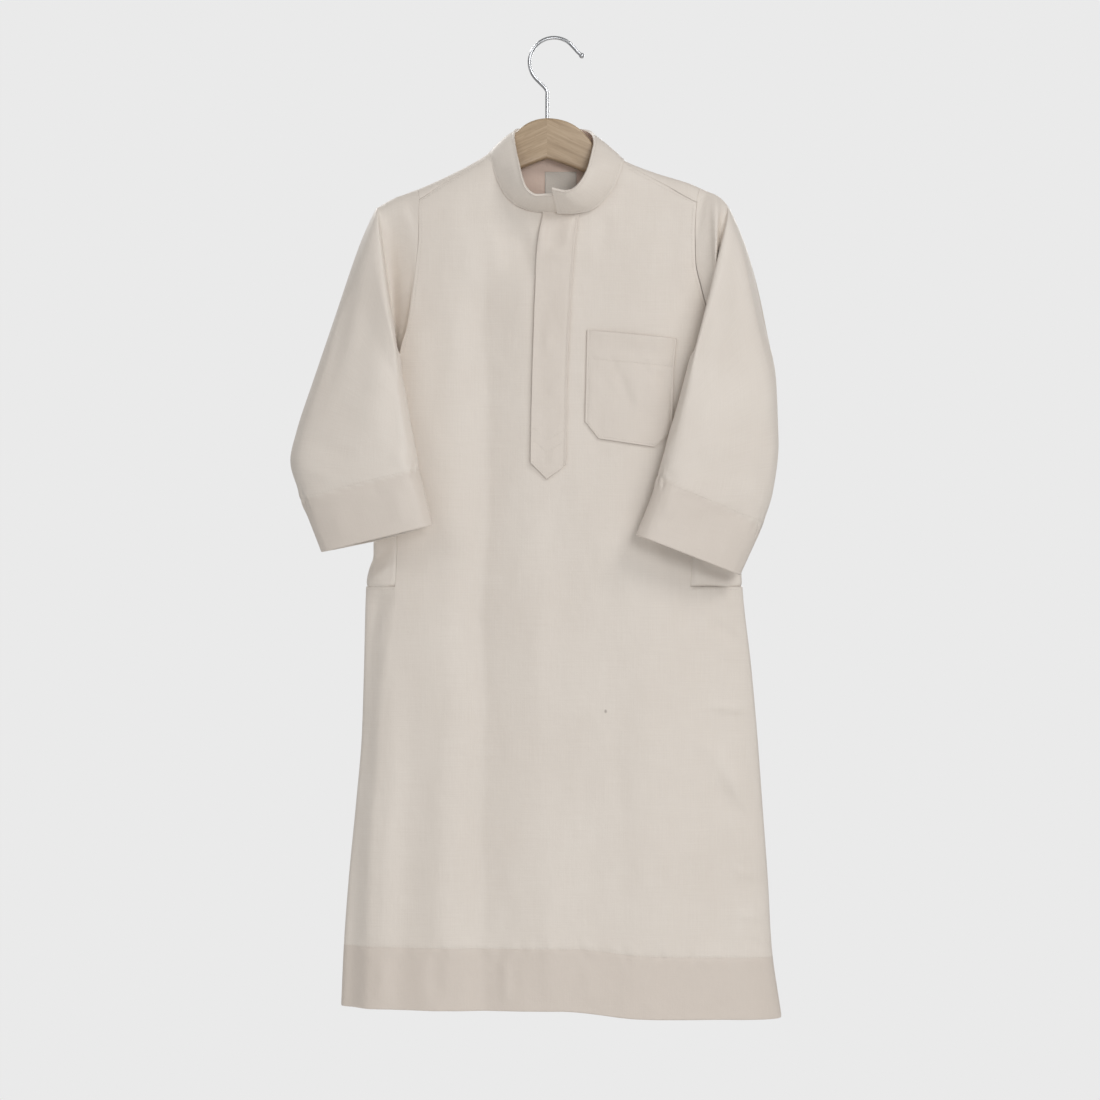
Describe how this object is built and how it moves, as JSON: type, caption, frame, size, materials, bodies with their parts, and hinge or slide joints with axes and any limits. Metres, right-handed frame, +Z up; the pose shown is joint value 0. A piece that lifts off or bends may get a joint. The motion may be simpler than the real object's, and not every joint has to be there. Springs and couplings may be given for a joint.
{
  "type": "thobe robe on a hanger",
  "caption": "Child's ankle-length thobe with a band collar, covered front placket, chest pocket and three-quarter sleeves, hung on a wooden hanger with a wire hook",
  "frame": {"origin": "inside top of the hook's crest, where a rail carries the hanger", "axes": "+Z up, -Y towards the front of the robe, +X towards the wearer's left"},
  "size_m": [0.4659, 0.0983, 0.9303],
  "materials": {
    "cloth": "fine plain weave, ecru, slight sheen",
    "label": "bare woven label",
    "wood": "satin lacquered beech",
    "wire": "polished wire"
  },
  "bodies": {
    "root": {"front_panel": "cloth", "back_panel": "cloth", "yoke": "cloth", "side_panel_right": "cloth", "side_panel_left": "cloth", "sleeve_right": "cloth", "sleeve_left": "cloth", "cuff_turnup_right": "cloth", "cuff_turnup_left": "cloth", "hem_turnup": "cloth", "collar_band": "cloth", "placket": "cloth", "chest_pocket": "cloth", "neck_label": "label", "hanger_wood": "wood", "hanger_hook": "wire"}
  },
  "joints": []
}
